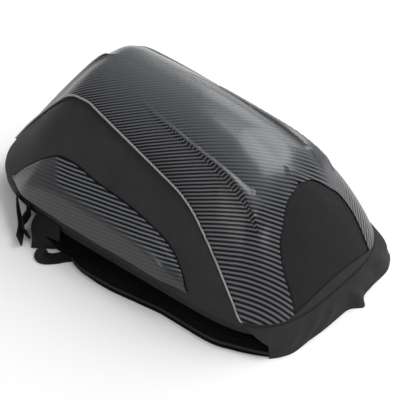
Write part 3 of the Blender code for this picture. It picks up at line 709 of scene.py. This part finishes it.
class BACKPACK_OT_nose(bpy.types.Operator):
    """Fabric panel in the nose, its folded seam round the arch and the crescent above the yoke"""

    bl_idname = "backpack.nose"
    bl_label = "Nose panel"

    def execute(self, context):
        sizes = context.scene.backpack_sizes
        sunk = sizes.shell_wall + 0.0004
        edge = [
            Vector((ARCH_HALF_WIDTH * along(ARCH, i / 60), RIM_HEIGHT + ARCH_HEIGHT * i / 60)) for i in range(61)
        ]

        def place(a, u, distance):
            share, climb = NOSE_PANEL[0] * a, NOSE_PANEL[1] * u
            point = off_hull(share, climb, distance - sunk)
            arch_width = ARCH_HALF_WIDTH * along(ARCH, (point.z - RIM_HEIGHT) / ARCH_HEIGHT)
            inside = point.z < RIM_HEIGHT + ARCH_HEIGHT and abs(point.y) < arch_width
            depth = min((Vector((abs(point.y), point.z)) - spot).length for spot in edge) if inside else 0.0
            point += hull_out(share, climb) * 0.0022 * eased((depth - 0.0005) / 0.004)
            if a == 0.0:
                point.y = 0.0
            return point

        bm = laid(60, 80, lambda a, u: place(a, u, -sizes.fabric_wall), lambda a, u: place(a, u, 0.0))
        cover = BVHTree.FromBMesh(bm)
        piece("nose_panel_cloth", mirrored(bm), ("neoprene_nose",), "coated_fabric", "nose_panel")

        def hem_spot(a, inset):
            """Place on the panel beside the arch, and the way out of it there: from the bottom to the point."""
            y = (ARCH_HALF_WIDTH - inset) * along(ARCH, a)
            z = RIM_HEIGHT + (ARCH_HEIGHT - inset * 1.2) * a + 0.002
            spot, out = cover.ray_cast(Vector((0.5, -max(y, 0.0002), z)), Vector((-1.0, 0.0, 0.0)))[:2]
            return spot, out if out.x > 0 else -out

        bm = bmesh.new()
        for inset in (0.0034, 0.0058):
            for _, flip in SIDES:
                line = [flipped(hem_spot(i / 90, inset), flip) for i in range(3, 90)]
                stitch_row(bm, [(spot + out * 0.0002, out) for spot, out in line], 0.0038, 0.0026, 0.0006)
        piece("arch_stitches", bm, ("stitching_thread",), "coated_fabric")
        for name, flip in SIDES:
            spots = [hem_spot(i / 90, 0.0010)[0] for i in range(2, 91)]
            spots = [(spot.x + 0.0008, flip * spot.y, spot.z) for spot in spots]
            tube(f"arch_seam_{name}", spots, 0.0009, "seam_cord", "coated_fabric")

        def crescent(a, u, distance):
            share = 0.128 * a
            top = 0.0150 * (1 - a**2.2) + 0.0006
            climb = (math.asin(min(top * u / (SHELL_HEIGHT * 0.84), 1.0) ** 0.6) * 2 / math.pi) if u else 0.0
            point = off_hull(share, climb, distance - sunk)
            if a == 0.0:
                point.y = 0.0
            return point

        def swell(a, u):
            return crescent(a, u, 0.0034 + 0.0018 * math.sin(math.pi * min(max(u, 0.0), 1.0)) * (1 - a))

        bm = laid(30, 8, lambda a, u: crescent(a, u, 0.0001), swell)
        piece("nose_crescent", mirrored(bm), ("coated_oxford_cloth",), "coated_fabric")
        return {"FINISHED"}


class BACKPACK_OT_sides(bpy.types.Operator):
    """Fabric sides under the shell, each with its ribbed inset and its pad"""

    bl_idname = "backpack.sides"
    bl_label = "Fabric sides"

    def execute(self, context):
        sizes = context.scene.backpack_sizes

        def side(a, u, distance):
            share = SIDE_SPAN[0] + (SIDE_SPAN[1] - SIDE_SPAN[0]) * a
            seam = along(SHELL_SEAM, share)
            climb = (seam + 0.02) * u
            sunk = (sizes.shell_wall + 0.0005) * eased((climb - seam) / 0.035 + 1)
            return off_hull(share, climb, distance - sunk)

        def inset(a, u, distance):
            share = INSET[0][0] + (INSET[-1][0] - INSET[0][0]) * a
            low, pad, high = (along(INSET, share, column) for column in (1, 2, 3))
            climb = low + (high - low) * u
            ends = eased(min(a, 1 - a) / 0.14)
            rise = sizes.pad_rise * eased((high - climb) / (high - pad)) * eased(u / 0.22) * ends
            edge = 0.0016 * eased(min(u, 1 - u) / 0.06) + 0.0006
            return off_hull(share, climb, 0.0003 + (edge + rise if distance else 0.0))

        for name, flip in SIDES:
            bm = laid(130, 34, lambda a, u: side(a, u, -sizes.fabric_wall), lambda a, u: side(a, u, 0.0))
            cloth = turned(bm, flip)
            piece(f"side_cloth_{name}", cloth, ("coated_oxford_cloth",), "coated_fabric", f"side_panel_{name}")
            bm = laid(130, 40, lambda a, u: inset(a, u, 0.0), lambda a, u: inset(a, u, 1.0))
            film = turned(bm, flip)
            piece(f"side_inset_film_{name}", film, ("moulded_inset_film",), "carbon_film", f"side_inset_{name}")
            shares = [INSET[0][0] + (INSET[-1][0] - INSET[0][0]) * i / 110 for i in range(111)]
            spots = [off_hull(share, along(INSET, share, 3) + 0.004, 0.0004) for share in shares]
            tube(f"inset_seam_{name}", flipped(spots, flip), 0.0008, "seam_cord", "coated_fabric")
        return {"FINISHED"}


class BACKPACK_OT_piping(bpy.types.Operator):
    """Reflective piping along the shell's seam"""

    bl_idname = "backpack.piping"
    bl_label = "Piping"

    def execute(self, context):
        radius = context.scene.backpack_sizes.piping / 2
        shares = [PIPING_SPAN[0] + (PIPING_SPAN[1] - PIPING_SPAN[0]) * i / 150 for i in range(151)]
        cord = [off_hull(share, along(SHELL_SEAM, share), radius) for share in shares]
        places = [(share, along(SHELL_SEAM, share) - 0.020) for share in shares[4:-4]]
        for name, flip in SIDES:
            spots = flipped(cord, flip)
            tube(f"piping_tape_{name}", spots, radius, "reflective_tape", "reflective_piping", f"piping_{name}")
            line = [flipped((off_hull(s, c, 0.0001), hull_out(s, c)), flip) for s, c in places]
            bm = bmesh.new()
            stitch_row(bm, line, 0.0042, 0.0028, 0.0006)
            piece(f"piping_stitches_{name}", bm, ("stitching_thread",), "reflective_piping")
        return {"FINISHED"}


class BACKPACK_OT_base(bpy.types.Operator):
    """Fabric band under the rim with its welt, and the padded back inside it"""

    bl_idname = "backpack.base"
    bl_label = "Gusset and back"

    def execute(self, context):
        low = RIM_BOX[0].z

        def band(a, u, inset):
            welt = 0.0012 * math.sin(math.pi * eased((u - 0.35) / 0.6)) if inset == 0.0 else 0.0
            x, y = rim_at(rim_angle(a), welt - inset)
            return Vector((WAIST_X + x, 0.0 if a in (0.0, 1.0) else -y, low + (RIM_HEIGHT - 0.0002 - low) * u))

        bm = laid(170, 14, lambda a, u: band(a, u, 0.0026), lambda a, u: band(a, u, 0.0))
        piece("gusset_band", mirrored(bm), ("coated_oxford_cloth",), "coated_fabric", "gusset")

        bottom, top = (corner.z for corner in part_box("back_panel"))

        def back(a, u, upper):
            x, y = rim_at(rim_angle(a), -0.0032)
            middle_x = x * (1 - NOSE_RUN / NOSE_REACH)
            pinch = 0.004 * eased((u - 0.82) / 0.18)
            channel = 0.0012 * (1 - eased(abs(u - 0.55) / 0.03))
            z = top - pinch if upper else bottom + pinch + channel
            flat_y = 0.0 if a in (0.0, 1.0) or u == 0.0 else -y * u
            return Vector((WAIST_X + middle_x + (x - middle_x) * u, flat_y, z))

        bm = laid(90, 24, lambda a, u: back(a, u, False), lambda a, u: back(a, u, True))
        obj = piece("back_pad", mirrored(bm), ("spacer_mesh",), "padded_mesh", "back_panel")

        floor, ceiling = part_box("lumbar_pad")
        middle, reach = (floor + ceiling) / 2, (ceiling - floor) / 2

        def lumbar(a, u, upper):
            c, s = math.cos(math.pi * a), math.sin(math.pi * a)
            x = middle.x + LUMBAR_SHIFT + reach.x * u * math.copysign(abs(c) ** 0.5, c)
            y = 0.0 if a in (0.0, 1.0) or u == 0.0 else -(reach.y + LUMBAR_WIDENING) * u * max(s, 0.0) ** 0.6
            pinch = 0.2 * eased((u - 0.8) / 0.2) + 0.05 * (1 - eased(abs(u - 0.5) / 0.05))
            return Vector((x, y, ceiling.z * (1 - pinch if upper else pinch)))

        bm = laid(90, 24, lambda a, u: lumbar(a, u, False), lambda a, u: lumbar(a, u, True))
        obj = piece("lumbar_cushion", mirrored(bm), ("spacer_mesh",), "padded_mesh", "lumbar_pad")
        return {"FINISHED"}


class BACKPACK_OT_straps(bpy.types.Operator):
    """Padded shoulder straps, each with the binding and the seam of its outer edge"""

    bl_idname = "backpack.straps"
    bl_label = "Shoulder straps"

    def execute(self, context):
        sizes = context.scene.backpack_sizes
        thick = STRAP_BOX[1].z

        def line(a):
            share = STRAP_SPAN[0] + (STRAP_SPAN[1] - STRAP_SPAN[0]) * a
            x, y = rim_at(rim_angle(share))
            x += 0.021 * eased((0.12 - a) / 0.12)
            return WAIST_X + x, y + STRAP_OVERHANG * along(STRAP, a), sizes.strap_width * along(STRAP, a, 2)

        def strap(a, u, upper):
            x, edge, width = line(a)
            across = 2 * u - 1
            crown = (1 - abs(across) ** 3.2) ** 0.5
            end = min(1.0, 8 * min(a, 1 - a) + 0.35)
            lift = 0.0027 * eased((a - 0.80) / 0.08)
            return Vector((x, -(edge - width * u), thick * (0.25 + 0.73 * crown * end) if upper else lift))

        parts = (("binding", 0.012, 0.0018, "binding_tape"), ("seam", 0.13, 0.0006, "seam_cord"))
        for name, flip in SIDES:
            bm = turned(laid(90, 26, lambda a, u: strap(a, u, False), lambda a, u: strap(a, u, True)), flip)
            obj = piece(f"strap_pad_{name}", bm, ("spacer_mesh",), "padded_mesh", f"shoulder_strap_{name}")
            for part, u, radius, material in parts:
                spots = [strap(0.01 + 0.98 * i / 100, u, True) for i in range(101)]
                tube(f"strap_{part}_{name}", flipped(spots, flip), radius, material, "padded_mesh")
        return {"FINISHED"}


class BACKPACK_OT_yoke(bpy.types.Operator):
    """Soft band round the nose that the straps grow out of"""

    bl_idname = "backpack.yoke"
    bl_label = "Yoke"

    def execute(self, context):
        def band(a, u, outside):
            share = (YOKE_SPAN - YOKE_SLANT * min(2 - 2 * u, 1.0)) * a
            bulge = 0.013 + 0.006 * eased((a - 0.5) / 0.3)
            wall = 0.006 * (1 - 0.75 * u**3) + (bulge - 0.0066) * (1 - u) ** 0.7
            folds = 0.0012 * math.sin(9 * u + 22 * a) * eased(a / 0.2) * math.sin(math.pi * u) ** 0.5
            x, y = rim_at(rim_angle(share), 0.0006 + (wall + folds if outside else 0.0))
            return Vector((WAIST_X + x, 0.0 if a == 0.0 else -y, (RIM_HEIGHT - 0.004) * u))

        bm = mirrored(laid(80, 24, lambda a, u: band(a, u, False), lambda a, u: band(a, u, True)))
        middle, width, reach = YOKE_FOLD
        for vert in bm.verts:
            share = math.exp(-(((vert.co.y - middle) / width) ** 2)) * max(1 - vert.co.z / RIM_HEIGHT, 0.0) ** 2
            vert.co.x += reach * share
        obj = piece("yoke_band", bm, ("coated_oxford_cloth",), "coated_fabric", "yoke")
        return {"FINISHED"}


class BACKPACK_OT_webbing(bpy.types.Operator):
    """Loose webbing at the strap's end and the tail corner"""

    bl_idname = "backpack.webbing"
    bl_label = "Loose webbing"

    def execute(self, context):
        sizes = context.scene.backpack_sizes

        def strip(route, a, u, side):
            def middle(t):
                return beside_rim(*(along(route, t, column) for column in (1, 2, 3)))

            ahead = (middle(min(a + 0.02, 1.0)) - middle(max(a - 0.02, 0.0))).normalized()
            level = ahead.cross(Vector((0.0, 0.0, 1.0))).normalized()
            turn = along(route, a, 4) * math.pi / 2
            across = level * math.cos(turn) + level.cross(ahead) * math.sin(turn)
            beside = across * sizes.webbing_width * (u - 0.5)
            return middle(a) + beside + across.cross(ahead) * WEBBING_THICKNESS * side

        for name, flip in SIDES:
            for part, route in WEBBING_ROUTES.items():
                bm = laid(60, 6, lambda a, u: strip(route, a, u, -0.5), lambda a, u: strip(route, a, u, 0.5))
                strap = turned(bm, flip)
                piece(f"{part}_web_{name}", strap, ("woven_webbing",), "webbing", f"{part}_webbing_{name}")
        return {"FINISHED"}


class BACKPACK_OT_flap(bpy.types.Operator):
    """Small fabric flap that hangs from the rim to the floor"""

    bl_idname = "backpack.flap"
    bl_label = "Side flap"

    def execute(self, context):
        outwards = Vector(FLAP_FACING)

        def flap(a, u, thick):
            tail = beside_rim(along(FLAP, u, 1), along(FLAP, u, 2), along(FLAP, u, 5))
            nose = beside_rim(along(FLAP, u, 3), along(FLAP, u, 4), along(FLAP, u, 5))
            return tail.lerp(nose, a) + outwards * thick

        for name, flip in SIDES:
            bm = laid(24, 24, lambda a, u: flap(a, u, 0.0), lambda a, u: flap(a, u, FLAP_THICKNESS))
            cloth = turned(bm, flip)
            obj = piece(f"flap_cloth_{name}", cloth, ("woven_webbing",), "coated_fabric", f"side_flap_{name}")
            spots = [flap(0.94, 0.35 + 0.62 * i / 30, 0.0026) for i in range(31)]
            tube(f"flap_trim_{name}", flipped(spots, flip), 0.0008, "binding_tape", "coated_fabric")
        return {"FINISHED"}


class BACKPACK_OT_stage(bpy.types.Operator):
    """Pale floor, soft studio light and the camera"""

    bl_idname = "backpack.stage"
    bl_label = "Stage"

    def execute(self, context):
        scene = context.scene
        azimuth, elevation = math.radians(CAMERA_AZIMUTH), math.radians(CAMERA_ELEVATION)
        back = Vector(
            (math.sin(azimuth) * math.cos(elevation), -math.cos(azimuth) * math.cos(elevation), math.sin(elevation))
        )
        right = Vector((math.cos(azimuth), math.sin(azimuth), 0.0))
        up = back.cross(right)
        distance = scene.backpack_sizes.camera_distance
        aim = Vector((WAIST_X, 0.0, 0.0)) + up * CAMERA_AIM[1] + right * CAMERA_AIM[0]
        camera = bpy.data.objects.new("camera", bpy.data.cameras.new("camera"))
        camera.data.sensor_width = SENSOR_WIDTH
        camera.data.lens = SENSOR_WIDTH * PIXELS_PER_METRE * distance / PHOTO_WIDTH
        camera.data.clip_end = 100.0
        turn = Matrix((right, up, back)).transposed().to_4x4()
        camera.matrix_world = Matrix.Translation(aim + back * distance) @ turn
        scene.collection.objects.link(camera)
        scene.camera = camera

        bm = bmesh.new()
        bmesh.ops.create_circle(bm, cap_ends=True, segments=64, radius=12.0)
        mesh = bpy.data.meshes.new("floor")
        bm.to_mesh(mesh)
        bm.free()
        floor = bpy.data.objects.new("floor", mesh)
        material, _, shader, _ = start("pale_paper", 0.9)
        shader.inputs["Base Color"].default_value = linear("#f4f4f4")
        mesh.materials.append(material)
        scene.collection.objects.link(floor)

        lights = (
            ("overhead", (0.55, 1.4, 2.4), 2.0, 64.0),
            ("far_side", (-0.6, 2.3, 1.2), 1.4, 18.0),
            ("nose_side", (2.4, -1.0, 1.5), 0.9, 16.0),
            ("right_side", (-0.3, -2.8, 1.2), 1.0, 10.0),
        )
        for name, spot, size, power in lights:
            lamp = bpy.data.lights.new(name, "AREA")
            lamp.size = size
            lamp.energy = power
            obj = bpy.data.objects.new(name, lamp)
            obj.location = spot
            obj.rotation_euler = (Vector((0.0, 0.0, 0.1)) - Vector(spot)).to_track_quat("-Z", "Y").to_euler()
            scene.collection.objects.link(obj)
        world = bpy.data.worlds.new("studio")
        world.use_nodes = True
        background = world.node_tree.nodes["Background"]
        background.inputs["Color"].default_value = (1.0, 1.0, 1.0, 1.0)
        background.inputs["Strength"].default_value = 0.46
        scene.world = world
        scene.view_settings.view_transform = "Standard"
        return {"FINISHED"}


class BACKPACK_PT_panel(bpy.types.Panel):
    """Lists the pieces, the sizes and the looks"""

    bl_label = "Backpack"
    bl_idname = "BACKPACK_PT_panel"
    bl_space_type = "VIEW_3D"
    bl_region_type = "UI"
    bl_category = "Backpack"

    def draw(self, context):
        for group in (context.scene.backpack_sizes, context.scene.backpack_looks):
            for name in group.__annotations__:
                self.layout.prop(group, name)
        for operator in PIECES:
            self.layout.operator(operator.bl_idname)


PIECES = (
    BACKPACK_OT_stage,
    BACKPACK_OT_shell,
    BACKPACK_OT_nose,
    BACKPACK_OT_sides,
    BACKPACK_OT_piping,
    BACKPACK_OT_base,
    BACKPACK_OT_straps,
    BACKPACK_OT_yoke,
    BACKPACK_OT_webbing,
    BACKPACK_OT_flap,
)
CLASSES = (BackpackLooks, BackpackSizes, *PIECES, BACKPACK_PT_panel)


def register():
    for cls in CLASSES:
        bpy.utils.register_class(cls)
    bpy.types.Scene.backpack_looks = bpy.props.PointerProperty(type=BackpackLooks)
    bpy.types.Scene.backpack_sizes = bpy.props.PointerProperty(type=BackpackSizes)


def unregister():
    del bpy.types.Scene.backpack_sizes
    del bpy.types.Scene.backpack_looks
    for cls in reversed(CLASSES):
        bpy.utils.unregister_class(cls)


def main():
    register()
    for operator in PIECES:
        group, name = operator.bl_idname.split(".")
        getattr(getattr(bpy.ops, group), name)()


if __name__ == "__main__":
    main()
